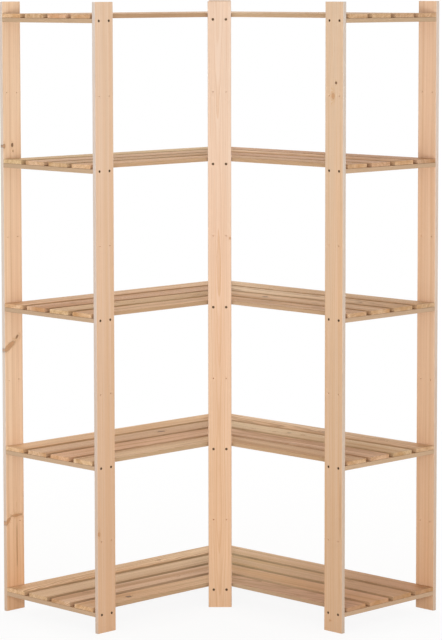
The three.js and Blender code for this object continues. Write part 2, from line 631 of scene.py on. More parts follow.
class Grain(Enum):
    """Noises: features per unit of each coordinate, and octaves of finer noise."""

    SWELL = ((1.5, 9.0, 9.0), 2.0)
    RIPPLE = ((13.0, 50.0, 50.0), 2.0)
    STREAK = ((0.9, 110.0, 110.0), 3.0)
    FIBRE = ((6.0, 800.0, 800.0), 3.0)
    PATCH = ((1.2, 14.0, 14.0), 2.0)
    SCUFF = ((45.0, 400.0, 400.0), 3.0)
    SAW = ((900.0, 30.0, 1300.0), 2.0)
    KNOT = ((1.4, 1.4, 1.4), 2.0)
    BLOTCH = ((900.0, 900.0, 900.0), 3.0)


class NodeSheet:
    """A node tree under construction. Values may be sockets, numbers, vectors or colours."""

    def __init__(self, tree: bpy.types.NodeTree) -> None:
        """Starts on a node tree."""
        self.tree = tree

    def wire(self, node: bpy.types.Node, values: dict[str | int, object]) -> bpy.types.Node:
        """Feeds a node: links inputs to sockets, and sets the plain values of others.

        Args:
            node: The node.
            values: What each input takes, by its name or number.

        Returns:
            The node.
        """
        for name, value in values.items():
            socket = node.inputs[name]
            if isinstance(value, bpy.types.NodeSocket):
                self.tree.links.new(value, socket)
            elif socket.type == "RGBA" and len(value) == 3:
                socket.default_value = (*value, 1.0)
            else:
                socket.default_value = value
        return node

    def add(
        self, kind: str, values: dict[str | int, object] | None = None, **settings: object
    ) -> bpy.types.Node:
        """Adds a node and feeds it.

        Args:
            kind: Its type, without the leading ShaderNode.
            values: What its inputs take.
            settings: Values of its own properties.

        Returns:
            The node.
        """
        node = self.tree.nodes.new("ShaderNode" + kind)
        for name, value in settings.items():
            setattr(node, name, value)
        return self.wire(node, values or {})

    def math(self, operation: str, *values: object) -> Socket:
        """A Math node on one to three values."""
        return self.add("Math", dict(enumerate(values)), operation=operation).outputs[0]

    def product(self, first: object, *others: object) -> Socket:
        """The product of two or more numbers."""
        return reduce(lambda so_far, other: self.math("MULTIPLY", so_far, other), others, first)

    def total(self, base: object, *terms: tuple[object, object], clamp: bool = False) -> Socket:
        """A number plus products of two.

        Args:
            base: The number.
            terms: The pairs whose products are added.
            clamp: Whether the result is kept between 0 and 1.

        Returns:
            The sum.
        """
        for first, second in terms:
            base = self.math("MULTIPLY_ADD", first, second, base)
        base.node.use_clamp = clamp
        return base

    def vector(self, operation: str, *values: object, output: str = "Vector") -> Socket:
        """A Vector Math node."""
        return self.add("VectorMath", dict(enumerate(values)), operation=operation).outputs[output]

    def length(self, where: Socket) -> Socket:
        """Length of a vector."""
        return self.vector("LENGTH", where, output="Value")

    def rise(self, value: object, low: object, high: object) -> Socket:
        """A share that rises smoothly from 0 where the value is low to 1 where it is high."""
        values = {"Value": value, "From Min": low, "From Max": high}
        return self.add("MapRange", values, interpolation_type="SMOOTHSTEP").outputs["Result"]

    def fall(self, value: object, low: object, high: object) -> Socket:
        """A share that falls smoothly from 1 where the value is low to 0 where it is high."""
        return self.math("SUBTRACT", 1.0, self.rise(value, low, high))

    def noise(self, where: Socket, grain: Grain) -> Socket:
        """Noise around 0.5."""
        scaled, detail = self.vector("MULTIPLY", where, grain.value[0]), grain.value[1]
        return self.add("TexNoise", {"Vector": scaled, "Scale": 1.0, "Detail": detail}).outputs[0]

    def swing(self, where: Socket, grain: Grain) -> Socket:
        """Noise around 0."""
        return self.math("SUBTRACT", self.noise(where, grain), 0.5)

    def wander(self, value: Socket, scale: float) -> Socket:
        """Noise around 0.5 along a single number, with so many features per unit of it."""
        values = {"W": self.math("MULTIPLY", value, scale), "Scale": 1.0}
        return self.add("TexNoise", values, noise_dimensions="1D").outputs[0]

    def mix(self, share: object, first: object, second: object, blend: str = "MIX") -> Socket:
        """A mix of two colours.

        Args:
            share: How much of the second colour.
            first: The colour below.
            second: The colour above.
            blend: How the second colour is laid on.

        Returns:
            The colour.
        """
        values = {FACTOR: share, FIRST_COLOUR: first, SECOND_COLOUR: second}
        node = self.add("Mix", data_type="RGBA", blend_type=blend)
        return self.wire(node, values).outputs[MIXED_COLOUR]

    def shifted(
        self,
        where: Socket,
        place: Iterable[float],
        turn: Iterable[float],
        size: Triple = (1.0, 1.0, 1.0),
    ) -> Socket:
        """Coordinates as seen from a place, turned with it, in units of its size.

        Args:
            where: The coordinates.
            place: The new origin.
            turn: The turn of the new axes.
            size: Length of the new units.

        Returns:
            The new coordinates.
        """
        own = {"Location": place, "Rotation": turn, "Scale": size}
        values = {name: tuple(float(number) for number in value) for name, value in own.items()}
        return self.add("Mapping", {"Vector": where, **values}, vector_type="TEXTURE").outputs[0]


def new_material(name: str) -> tuple[bpy.types.Material, NodeSheet, bpy.types.Node]:
    """Starts a material.

    Args:
        name: Its name.

    Returns:
        The material, its sheet and its Principled shader.
    """
    material = bpy.data.materials.new(name)
    material.use_nodes = True
    tree = material.node_tree
    return material, NodeSheet(tree), tree.nodes["Principled BSDF"]


class Pattern:
    """A node group that many materials share. Its sockets are listed by their kind."""

    name: str
    inputs: Sockets
    outputs: Sockets

    def draw(self, sheet: NodeSheet, given: bpy.types.NodeOutputs) -> dict[str, Socket]:
        """Draws the group from what it is given, and says what its outputs take."""
        raise NotImplementedError

    def group(self) -> bpy.types.NodeTree:
        """The group, drawn when it is first asked for.

        Returns:
            The group.
        """
        if self.name in bpy.data.node_groups:
            return bpy.data.node_groups[self.name]
        tree = bpy.data.node_groups.new(self.name, "ShaderNodeTree")
        for way, sockets in (("INPUT", self.inputs), ("OUTPUT", self.outputs)):
            for kind, names in sockets.items():
                for name in names:
                    kind_name = "NodeSocket" + kind
                    tree.interface.new_socket(name=name, in_out=way, socket_type=kind_name)
        sheet, entry = NodeSheet(tree), tree.nodes.new("NodeGroupInput")
        sheet.wire(tree.nodes.new("NodeGroupOutput"), self.draw(sheet, entry.outputs))
        return tree


@dataclass(frozen=True)
class Knot:
    """A knot, as an ellipse on the face of a board that runs through its thickness."""

    along: float
    across: float
    half_along: float
    half_across: float
    turn: float = 0.0
    darkness: float = 0.4
    push: float = 0.8

    @property
    def size(self) -> float:
        """How far the growth rings are pushed aside."""
        return self.push * math.sqrt(self.half_along * self.half_across)


class KnotPattern(Pattern):
    """Draws one knot over the marks of the knots before it.

    In units of the knot's half sizes, at a wobbly distance d from its middle: the core, with
    faint rings of its own, fades out near d = 1, where the dark rim lies; the halo fades
    along the grain to d = 3.8; and the growth rings are lifted by up to the knot's size.
    Marks hold core, darkness and halo.
    """

    name: str = "pine_knot"
    inputs: Sockets = {"Vector": ("Spot", "Marks"), "Float": ("Size", "Darkness", "Lift")}
    outputs: Sockets = {"Vector": ("Marks",), "Float": ("Lift",)}
    wobble: float = 0.7
    core: Span = (0.82, 1.04)
    rim_place: float = 0.97
    rim: Span = (0.02, 0.26)
    rings_per_unit: float = 3.4
    heart: Span = (0.05, 0.5)
    heart_share: float = 0.35
    ring_share: float = 0.5
    deep: Span = (0.55, 1.0)
    halo_stretch: Triple = (0.5, 0.85, 0.0)
    halo: Span = (0.4, 1.9)
    lift_power: float = 1.5

    def draw(self, sheet: NodeSheet, given: bpy.types.NodeOutputs) -> dict[str, Socket]:
        """Draws the group.

        Args:
            sheet: Its sheet.
            given: The sockets that carry its inputs.

        Returns:
            What its outputs take.
        """
        darkness = given["Darkness"]
        flat = sheet.vector("MULTIPLY", given["Spot"], (1.0, 1.0, 0.0))
        wobble = sheet.swing(sheet.vector("ADD", flat, given["Size"]), Grain.KNOT)
        distance = sheet.total(sheet.length(flat), (wobble, self.wobble))
        core = sheet.fall(distance, *self.core)
        off_rim = sheet.math("ABSOLUTE", sheet.math("SUBTRACT", distance, self.rim_place))
        rings = sheet.math("PINGPONG", sheet.product(distance, self.rings_per_unit), 0.5)
        heart = sheet.product(sheet.fall(distance, *self.heart), self.heart_share)
        tone = sheet.total(heart, (rings, self.ring_share))
        drawn = sheet.math("MAXIMUM", sheet.product(core, tone), sheet.fall(off_rim, *self.rim))
        dark = sheet.product(drawn, darkness)
        deep = sheet.product(core, sheet.rise(darkness, *self.deep))
        stretched = sheet.length(sheet.vector("MULTIPLY", flat, self.halo_stretch))
        halo = sheet.fall(stretched, *self.halo)
        marks = {0: core, 1: sheet.math("MAXIMUM", dark, deep), 2: halo}
        marks = sheet.add("CombineXYZ", marks).outputs[0]
        lifted = sheet.product(sheet.math("POWER", halo, self.lift_power), given["Size"])
        return {
            "Marks": sheet.vector("MAXIMUM", marks, given["Marks"]),
            "Lift": sheet.math("ADD", lifted, given["Lift"]),
        }


class PinePattern(Pattern):
    """Grows pine: rings round a pith, fibres, resin, sawn ends and knots.

    A point's ring number is its distance from the pith, with slow and fast wobbles along the
    log, less what the knots lift, over the ring spacing. Within a ring the colour deepens
    from early to late wood and then jumps back. Streaks, fibres and resin canals are noises
    drawn out along the log. The long edges have a tone of their own, which on the slats is
    painted shade for the gaps between them, and worn corners; a sawn end is warmer and
    rougher, with the marks of the saw across it. Towards the foot, the start of the board,
    the whole is tinted with painted light and shade: a post darkens towards the floor and a
    slat lightens towards the room corner.

    The dicts at the end say how much each thing adds to tone, roughness and height.
    """

    name: str = "pine_wood"
    inputs: Sockets = {
        "Vector": ("Log", "Board", "Marks"),
        "Float": (
            *("Sawn", "Lift", "Spacing", "Contrast", "Figure", "Edge Share", "Foot Reach"),
            *("Seed", "Half Width", "Half Thickness", "Length"),
        ),
        "Color": ("Early", "Late", "Heart", "Edge", "Foot"),
    }
    outputs: Sockets = {"Color": ("Colour",), "Float": ("Roughness", "Height")}
    swell: float = 16 * MM
    ripple: float = 2.4 * MM
    ring_wander: Span = (0.31, 1.6)
    ripening: Span = (0.30, 0.90)
    ring_end: Span = (0.93, 1.0)
    weakest_ring: float = 0.45
    years: float = 0.17
    dark_years: Span = (0.30, 0.72)
    canal_scale: Triple = (70.0, 900.0, 900.0)
    canal: Span = (0.10, 0.26)
    late_from_years: float = 0.24
    late_from_density: float = 0.8
    late_from_halo: float = 0.25
    streaks: float = 0.35
    figured_streaks: float = 0.9
    heart_patches: Span = (0.42, 0.75)
    on_side: Span = (0.1 * MM, 1.3 * MM)
    near_face: Span = (0.2 * MM, 2.2 * MM)
    scuffs: Span = (0.45, 0.70)
    end_late: float = 0.22
    end_tone: float = 0.95
    end_saw: float = 0.3
    core_share: float = 0.62
    core_colour: Triple = (0.50, 0.24, 0.10)
    dark_share: float = 0.85
    dark_colour: Triple = (0.10, 0.045, 0.02)
    mean_roughness: float = 0.60
    fibre_height: float = 0.07
    tone: Weights = {"fibre": 0.22, "canal": -0.35, "worn": -0.16}
    roughness: Weights = {"density": -0.10, "fibre": 0.18, "sawn": 0.20, "core": -0.12}
    height: Weights = {
        "density": 0.035,
        "canal": -0.05,
        "worn": -0.08,
        "dark": -0.10,
        "saw": 0.18,
    }

    def draw(self, sheet: NodeSheet, given: bpy.types.NodeOutputs) -> dict[str, Socket]:
        """Draws the group.

        Args:
            sheet: Its sheet.
            given: The sockets that carry its inputs.

        Returns:
            What its outputs take.
        """
        log_place, board, sawn = given["Log"], given["Board"], given["Sawn"]
        core, dark, halo = sheet.add("SeparateXYZ", {0: given["Marks"]}).outputs
        ring = self.ring(sheet, given)
        phase = sheet.math("FRACT", ring)
        each = sheet.add("TexWhiteNoise", {"W": sheet.math("FLOOR", ring)}, noise_dimensions="1D")
        strength = (each.outputs["Value"], 1 - self.weakest_ring)
        density = sheet.product(
            sheet.rise(phase, *self.ripening),
            sheet.fall(phase, *self.ring_end),
            sheet.total(self.weakest_ring, strength),
            given["Contrast"],
        )
        canals = {"Vector": sheet.vector("MULTIPLY", log_place, self.canal_scale), "Scale": 1.0}
        canals = sheet.add("TexVoronoi", canals, feature="F1").outputs["Distance"]
        side, face, along = self.edges(sheet, given)
        scuff = sheet.rise(sheet.noise(board, Grain.SCUFF), *self.scuffs)
        saw = sheet.noise(board, Grain.SAW)
        found = {
            "density": density,
            "fibre": sheet.swing(log_place, Grain.FIBRE),
            "canal": sheet.product(sheet.fall(canals, *self.canal), density),
            "worn": sheet.product(side, face, scuff),
            "sawn": sawn,
            "saw": sheet.product(saw, sawn),
            "core": core,
            "dark": dark,
        }

        def weighed(base: object, weights: Weights, clamp: bool = False) -> Socket:
            """A number, changed by so much of each thing found."""
            terms = ((found[name], weight) for name, weight in weights.items())
            return sheet.total(base, *terms, clamp=clamp)

        years = sheet.rise(sheet.wander(ring, self.years), *self.dark_years)
        late_share = sheet.total(
            sheet.product(years, self.late_from_years),
            (density, self.late_from_density),
            (
                sheet.swing(log_place, Grain.STREAK),
                sheet.total(self.streaks, (given["Figure"], self.figured_streaks)),
            ),
            (halo, self.late_from_halo),
            clamp=True,
        )
        patch = sheet.rise(sheet.noise(log_place, Grain.PATCH), *self.heart_patches)
        patch = sheet.product(patch, given["Figure"])
        colour = sheet.mix(patch, given["Early"], given["Heart"])
        colour = sheet.mix(late_share, colour, given["Late"])
        # The edge tone: on the slats a darker brown, painted shade for the gaps between them.
        colour = sheet.mix(sheet.product(side, given["Edge Share"]), colour, given["Edge"])
        end_tone = sheet.total(self.end_tone, (saw, self.end_saw))
        end = sheet.mix(self.end_late, colour, given["Late"])
        colour = sheet.mix(sawn, colour, sheet.mix(1.0, end, end_tone, "MULTIPLY"))
        colour = sheet.mix(1.0, colour, weighed(1.0, self.tone), "MULTIPLY")
        # Painted light and shade along the board: the foot tint darkens posts towards the floor
        # and lightens slats towards the room corner.
        foot = sheet.fall(along, 0.0, given["Foot Reach"])
        colour = sheet.mix(foot, colour, sheet.mix(1.0, colour, given["Foot"], "MULTIPLY"))
        colour = sheet.mix(sheet.product(core, self.core_share), colour, self.core_colour)
        colour = sheet.mix(sheet.product(dark, self.dark_share), colour, self.dark_colour)
        fibre_height = sheet.product(found["fibre"], self.fibre_height)
        return {
            "Colour": colour,
            "Roughness": weighed(self.mean_roughness, self.roughness, clamp=True),
            "Height": weighed(fibre_height, self.height),
        }

    def ring(self, sheet: NodeSheet, given: bpy.types.NodeOutputs) -> Socket:
        """Numbers the growth rings from the pith.

        Args:
            sheet: The group's sheet.
            given: The sockets that carry its inputs.

        Returns:
            The ring number, with its fraction.
        """
        log_place = given["Log"]
        radius = sheet.total(
            sheet.length(sheet.vector("MULTIPLY", log_place, (0.0, 1.0, 1.0))),
            (sheet.swing(log_place, Grain.SWELL), self.swell),
            (sheet.swing(log_place, Grain.RIPPLE), self.ripple),
        )
        radius = sheet.math("SUBTRACT", radius, given["Lift"])
        ring = sheet.math("ADD", sheet.math("DIVIDE", radius, given["Spacing"]), given["Seed"])
        scale, reach = self.ring_wander
        return sheet.total(ring, (sheet.wander(ring, scale), reach))

    def edges(self, sheet: NodeSheet, given: bpy.types.NodeOutputs) -> tuple[Socket, ...]:
        """Finds the long edges.

        Args:
            sheet: The group's sheet.
            given: The sockets that carry its inputs.

        Returns:
            The share of a long edge, the share of a broad face, and the way along the board.
        """
        place = sheet.add("SeparateXYZ", {0: given["Board"]}).outputs
        across, through = (sheet.math("ABSOLUTE", place[name]) for name in "YZ")
        side = sheet.math("SUBTRACT", given["Half Width"], across)
        depth = sheet.math("SUBTRACT", given["Half Thickness"], through)
        return (
            sheet.fall(side, *self.on_side),
            sheet.fall(depth, *self.near_face),
            sheet.math("DIVIDE", place["X"], given["Length"]),
        )


@dataclass(frozen=True)
class PineTone:
    """Colours of a batch of pine boards, as linear red, green and blue.

    The foot is no colour but a tint of painted light and shade, which fades over its reach,
    a share of the length.
    """

    early: Triple = (0.84, 0.62, 0.43)
    late: Triple = (0.60, 0.35, 0.17)
    heart: Triple = (0.80, 0.50, 0.32)
    edge: Triple = (0.61, 0.565, 0.545)
    foot: Triple = (0.95, 0.88, 0.78)
    foot_reach: float = 1.0

    def shaded(self, shade: np.ndarray) -> dict[str, object]:
        """What the pattern takes from here, for a board with a shade of its own.

        Args:
            shade: Factors for red, green and blue.

        Returns:
            Values by the names of the pattern's inputs.
        """
        batch = {"Early": self.early, "Late": self.late, "Heart": self.heart, "Edge": self.edge}
        own = {name: tuple((np.array(colour) * shade).tolist()) for name, colour in batch.items()}
        return {**own, "Foot": self.foot, "Foot Reach": self.foot_reach}


@dataclass(frozen=True)
class PineFinish:
    """Planed and unvarnished pine, for one kind of board.

    Boards differ in brightness by the tone spread, and in hue by that over the steadiness.
    """

    slot: str
    tone: PineTone = PineTone()
    ring_spacing: float = 2.6 * MM
    spacing_spread: Span = (0.8, 1.25)
    contrast: float = 0.8
    contrast_spread: Span = (0.8, 1.2)
    figure: float = 0.35
    edge_share: float = 0.65
    gloss: float = 0.3
    relief: float = 0.8
    pith_distance: Span = (45 * MM, 130 * MM)
    pith_direction: Span = (-0.9, 0.9)
    pith_along: Span = (1.0, 40.0)
    seeds: Span = (0.0, 500.0)
    tilt_degrees: float = 1.0
    tone_spread: float = 0.03
    hue_steadiness: float = 3.0

    def dress(
        self, name: str, placement: Placement, board: Board, knots: tuple[Knot, ...]
    ) -> bpy.types.Material:
        """The wood of one board: its own place in its own log, with its own knots.

        The board's Object coordinates are turned into board coordinates, and these into the
        coordinates of a log whose pith runs along the first axis, beside and behind the
        board and not quite parallel to it.

        Args:
            name: Name of the piece, which also seeds its random numbers.
            placement: Where the board lies.
            board: The board.
            knots: Its knots.

        Returns:
            The material.
        """
        rng = np.random.default_rng(seed_of(name))
        distance = rng.uniform(*self.pith_distance)
        direction = rng.uniform(*self.pith_direction)
        tilt = np.radians(rng.uniform(-1, 1, 2) * self.tilt_degrees)
        pith = (
            -rng.uniform(*self.pith_along),
            distance * math.sin(direction),
            -distance * math.cos(direction),
        )
        hue_spread = self.tone_spread / self.hue_steadiness
        shade = 1 + rng.normal(0, self.tone_spread) + rng.normal(0, hue_spread, 3)
        material, sheet, shader = new_material(name + "_pine")
        row_place = sheet.add("TexCoord").outputs["Object"]
        where = sheet.shifted(row_place, placement.origin, placement.rotation())
        values = {
            "Log": sheet.shifted(where, pith, (0.0, *tilt)),
            "Board": where,
            "Sawn": sheet.add("Attribute", attribute_name=CUT_ATTRIBUTE).outputs["Fac"],
            "Spacing": self.ring_spacing * rng.uniform(*self.spacing_spread),
            "Contrast": self.contrast * rng.uniform(*self.contrast_spread),
            "Figure": self.figure,
            "Edge Share": self.edge_share,
            "Seed": rng.uniform(*self.seeds),
            "Half Width": board.width / 2,
            "Half Thickness": board.thickness / 2,
            "Length": board.length,
            **self.tone.shaded(shade),
            **self.knot_marks(sheet, where, knots),
        }
        wood = sheet.add("Group", node_tree=PinePattern().group())
        wood = sheet.wire(wood, values).outputs
        bump = {"Strength": self.relief, "Distance": MM, "Height": wood["Height"]}
        looks = {
            "Base Color": wood["Colour"],
            "Roughness": wood["Roughness"],
            "Normal": sheet.add("Bump", bump).outputs["Normal"],
            "Specular IOR Level": self.gloss,
        }
        sheet.wire(shader, looks)
        return material

    def knot_marks(
        self, sheet: NodeSheet, where: Socket, knots: tuple[Knot, ...]
    ) -> dict[str, Socket]:
        """Draws the knots of a board one over the other.

        Args:
            sheet: The material's sheet.
            where: Board coordinates.
            knots: The knots.

        Returns:
            The marks and the lift of the growth rings, or nothing for a clear board.
        """
        so_far: dict[str, Socket] = {}
        for knot in knots:
            size = (knot.half_along, knot.half_across, 1.0)
            spot = sheet.shifted(where, (knot.along, knot.across, 0.0), (0, 0, knot.turn), size)
            values = {"Spot": spot, "Size": knot.size, "Darkness": knot.darkness, **so_far}
            drawn = sheet.wire(sheet.add("Group", node_tree=KnotPattern().group()), values)
            so_far = {name: drawn.outputs[name] for name in ("Marks", "Lift")}
        return so_far


@dataclass(frozen=True)
class ScrewSteel:
    """Yellow-passivated steel, browned and rubbed."""

    name: str = "browned_steel"
    bare: Triple = (0.16, 0.095, 0.05)
    dull: Triple = (0.045, 0.026, 0.014)
    blotches: Span = (0.35, 0.65)
    roughness: float = 0.62
    rubbed: float = -0.22
    metallic: float = 0.85

    def material(self) -> bpy.types.Material:
        """Steel whose colour and roughness vary in blotches of about a millimetre.

        Returns:
            The material.
        """
        material, sheet, shader = new_material(self.name)
        where = sheet.add("TexCoord").outputs["Object"]
        blotch = sheet.rise(sheet.noise(where, Grain.BLOTCH), *self.blotches)
        looks = {
            "Base Color": sheet.mix(blotch, self.dull, self.bare),
            "Roughness": sheet.total(self.roughness, (blotch, self.rubbed)),
            "Metallic": self.metallic,
        }
        sheet.wire(shader, looks)
        return material


# The unit


@dataclass(frozen=True, eq=False)
class UnitSizes:
    """Sizes of the unit as packed, in metres; depths count from the wall."""

    corner: np.ndarray
    wing_length: float
    post_height: float
    front_post_depth: float
    frame_width: float
    frame_thickness: float
    rows: tuple[float, ...]
    slat_width: float
    slat_thickness: float
    slat_above_row: float
    slat_depths: tuple[float, ...]
    mitre: float
    tip_depth: float
    batten_depths: Span
    diagonal_reach: Span
    inner_post: np.ndarray
    hole_offset: float = 18 * MM

    @staticmethod
    def measured(levels: int = 5, slats: int = 4) -> UnitSizes:
        """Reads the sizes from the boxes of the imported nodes.

        A board of length L and width w that lies on the diagonal has a box of
        (L + w) / sqrt 2, and starts sqrt 2 x + w / 2 from the room corner, where x is the
        box's distance from the wall.

        Args:
            levels: Number of shelves.
            slats: Number of slats in a wing.

        Returns:
            The sizes.
        """
        low, high = (np.array(corner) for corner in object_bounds())
        corner = np.array([low[0], high[1], 0.0])

        def box(node: str) -> np.ndarray:
            """Lowest and highest corner of a node, seen from the room corner."""
            return np.array(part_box(node)) - corner

        post, diagonal = box("right_front_post"), box("shelf_1_diagonal_batten")
        boards = [box(f"shelf_1_right_slat_{index + 1}") for index in range(slats)]
        ends = [box(f"shelf_{level + 1}_right_end_batten") for level in range(levels)]
        rows = tuple(end[:, 2].mean() for end in ends)
        width = np.ptp(post[:, 0])
        mitre = boards[1][0, 0] + boards[1][1, 1]
        diagonal_start = math.sqrt(2) * diagonal[0, 0] + width / 2
        diagonal_length = math.sqrt(2) * np.ptp(diagonal[:, 0]) - width
        return UnitSizes(
            corner=corner,
            wing_length=high[0] - low[0],
            post_height=high[2],
            front_post_depth=-post[:, 1].mean(),
            frame_width=width,
            frame_thickness=np.ptp(post[:, 1]),
            rows=rows,
            slat_width=np.ptp(boards[0][:, 1]),
            slat_thickness=np.ptp(boards[0][:, 2]),
            slat_above_row=boards[0][:, 2].mean() - rows[0],
            slat_depths=tuple(-slat[:, 1].mean() for slat in boards),
            mitre=mitre,
            tip_depth=boards[0][0, 0] - mitre,
            batten_depths=(-ends[0][1, 1], -ends[0][0, 1]),
            diagonal_reach=(diagonal_start, diagonal_start + diagonal_length),
            inner_post=corner + box("inner_corner_post").mean(axis=0) * [1, 1, 0],
        )

    def on_wing(self, wing: Wing, along: float, depth: float, height: float) -> np.ndarray:
        """A point of the row frame, from its place on a wing."""
        return self.corner + wing.along * along + wing.inwards * depth + UP * height


class Workshop:
    """Turns boards into dressed pieces and says so in the log."""

    def __init__(self) -> None:
        """Starts with no pieces made."""
        self.made = 0

    def hang(self, piece: bpy.types.Object, slot: str, *nodes: str) -> None:
        """Fixes a piece to the unit.

        Args:
            piece: The piece.
            slot: Material slot of the record for its finish; not used.
            nodes: CAD nodes that it stands for.
        """
        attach(piece, "root")
        if nodes:
            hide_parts(*nodes)
        self.made += 1
        log.info("%3d %s, %d faces", self.made, piece.name, len(piece.data.polygons))

    def board(
        self,
        name: str,
        board: Board,
        placement: Placement,
        finish: PineFinish,
        knots: tuple[Knot, ...],
        node: str | None = None,
    ) -> None:
        """Cuts, places and dresses a board.

        Args:
            name: Name of the piece.
            board: The board.
            placement: Where it lies.
            finish: Its wood.
            knots: Its knots.
            node: CAD node that it stands for, if not the one of its own name.
        """
        material = finish.dress(name, placement, board, knots)
        piece = make_piece(name + "_board", placement.to_row(board.surface()), material)
        self.hang(piece, finish.slot, node or name)


def seed_of(name: str) -> int:
    """A number that is always the same for the same name."""
    return zlib.crc32(name.encode())


@dataclass(frozen=True)
class KnotGrowth:
    """How knots are strewn over a board; reach is a share of its length, half is in mm."""

    spacing: float = 620 * MM
    margin: float = 12 * MM
    reach: Span = (0.08, 0.95)
    half: Span = (2.5, 7.5)
    stretch: Span = (1.1, 1.7)
    turn: float = 0.25
    darkness: tuple[float, ...] = (0.25, 0.4, 0.55, 0.9)
    odds: tuple[float, ...] = (0.35, 0.3, 0.2, 0.15)

    def on_board(self, name: str, board: Board) -> tuple[Knot, ...]:
        """Knots at random places of a board, about one for every spacing of its length.

        Args:
            name: Name of the board, which seeds the random numbers.
            board: The board.

        Returns:
            The knots.
        """
        rng = np.random.default_rng(seed_of(name + " knots"))
        count = rng.poisson(board.length / self.spacing)
        places = rng.uniform(*self.reach, count) * board.length
        across = rng.uniform(-1, 1, count) * (board.width / 2 - self.margin)
        halves = rng.uniform(*self.half, count) * MM
        stretch = rng.uniform(*self.stretch, count)
        turns = rng.normal(0, self.turn, count)
        darkness = rng.choice(self.darkness, count, p=self.odds)
        columns = (places, across, halves * stretch, halves, turns, darkness)
        return tuple(Knot(*values) for values in np.stack(columns, axis=1).tolist())


@dataclass(frozen=True)
class SeenMark:
    """A knot or dark streak of a post as the photograph shows it, in millimetres and degrees."""

    height: float
    to_the_right: float
    half_height: float
    half_width: float
    darkness: float
    lean: float = 0.0

    def on_board(self, placement: Placement) -> Knot:
        """The same mark in the coordinates of its board.

        Args:
            placement: Where the post stands.

        Returns:
            The mark, drawn as a knot.
        """
        way = math.copysign(1, placement.across @ PHOTO_RIGHT)
        return Knot(
            along=self.height * MM,
            across=way * self.to_the_right * MM,
            half_along=self.half_height * MM,
            half_across=self.half_width * MM,
            turn=way * math.radians(self.lean),
            darkness=self.darkness,
        )


SEEN_MARKS: dict[str, tuple[SeenMark, ...]] = {
    "left_back_post": (
        SeenMark(1305, 0, 5.5, 3.5, 0.9),
        SeenMark(1303, -29, 6, 4, 0.6),
        SeenMark(1288, 3, 3, 2, 0.5),
        SeenMark(745, -16, 24, 7.5, 0.3, lean=55),
        SeenMark(770, 12, 6, 3, 0.8, lean=40),
        SeenMark(253, -27, 14, 4.5, 0.45, lean=40),
        SeenMark(267, 5, 3.5, 19, 0.4),
        SeenMark(184, 6, 55, 1.6, 0.6),
    ),
    "left_front_post": (SeenMark(272, -27, 6, 4, 0.25),),
    "inner_corner_post": (SeenMark(1043, 29, 3.5, 2.5, 0.4),),
    "right_front_post": (
        SeenMark(1485, 7, 3.6, 3.4, 0.95),
        SeenMark(1450, -4, 9, 6, 0.12),
        SeenMark(338, 25, 80, 1.6, 0.35),
        SeenMark(30, -10, 2, 3.5, 0.35),
    ),
}


@dataclass(frozen=True, eq=False)
class Uprights:
    """The six posts with their screws."""

    sizes: UnitSizes
    workshop: Workshop
    screw: Screw = Screw()
    hole: ScrewHole = ScrewHole()
    pilot: ScrewHole = ScrewHole(
        mouth_radius=1.9 * MM,
        shank_radius=1.65 * MM,
        cone_depth=0.3 * MM,
        depth=5.6 * MM,
        rim=0.1 * MM,
        both_faces=True,
    )
    steel: ScrewSteel = ScrewSteel()
    # Painted shade: every post's foot tint darkens it towards the floor.
    front: PineFinish = PineFinish(
        "front_pine",
        PineTone(early=(0.69, 0.515, 0.39), foot=(0.91, 0.82, 0.73)),
        contrast=0.6,
        tilt_degrees=0.35,
    )
    inner: PineFinish = replace(
        front,
        tone=PineTone(
            early=(0.765, 0.605, 0.48), heart=(0.77, 0.55, 0.42), foot=(0.95, 0.82, 0.66)
        ),
    )
    # Painted light: the back posts' pine is a lighter copy of the front posts', for the less light
    # that reaches them.
    back: PineFinish = replace(
        front,
        slot="back_pine",
        tone=PineTone(early=(0.83, 0.63, 0.48), foot=(0.88, 0.79, 0.69)),
        contrast=0.7,
    )
    # Painted light and shade: the left back post is lighter still, for the front post's shadow on
    # it, and darkens over its lowest third.
    left_back: PineFinish = replace(
        back,
        tone=PineTone(early=(0.935, 0.72, 0.535), foot=(0.90, 0.75, 0.62), foot_reach=0.35),
    )

    def standing(self) -> Iterator[tuple[str, Placement, PineFinish]]:
        """Goes through the posts.

        Yields:
            Node name, place and finish of each post; its face is the one with the screw
            heads, and its origin is at the foot.
        """
        sizes = self.sizes
        end = sizes.wing_length - sizes.frame_width / 2
        for wing, back in ((Wing.RIGHT, self.back), (Wing.LEFT, self.left_back)):
            place = sizes.on_wing(wing, end, sizes.front_post_depth, 0)
            yield f"{wing.label}_front_post", Placement(place, UP, wing.inwards), self.front
            place = sizes.on_wing(wing, end, sizes.frame_thickness / 2, 0)
            yield f"{wing.label}_back_post", Placement(place, UP, -wing.inwards), back
        yield "inner_corner_post", Placement(sizes.inner_post, UP, DIAGONAL), self.inner
        reach = sizes.frame_width / 2 + sizes.frame_thickness / 2
        place = sizes.corner + DIAGONAL * reach
        yield "outer_corner_post", Placement(place, UP, -DIAGONAL), self.back

    def build(self) -> None:
        """Makes every post, its ten screws and its eight empty pilot holes.

        The pilot holes lie halfway between the shelves, for shelves at other heights.
        """
        sizes = self.sizes
        steel = self.steel.material()
        rows = np.array(sizes.rows)
        holes = self.hole.pairs(rows, sizes.hole_offset)
        pilots = self.pilot.pairs((rows[1:] + rows[:-1]) / 2, sizes.hole_offset)
        for name, placement, finish in self.standing():
            board = Board(
                width=sizes.frame_width,
                thickness=sizes.frame_thickness,
                starts=straight(0.0),
                ends=straight(sizes.post_height),
                length=sizes.post_height,
                holes=holes + pilots,
                seed=seed_of(name),
            )
            knots = tuple(mark.on_board(placement) for mark in SEEN_MARKS.get(name, ()))
            self.workshop.board(name, board, placement, finish, knots)
            screws = [self.screw.surface(hole, sizes.frame_thickness / 2) for hole in holes]
            screws = placement.to_row(Surface.side_by_side(screws))
            self.workshop.hang(make_piece(name + "_screws", screws, steel), finish.slot)


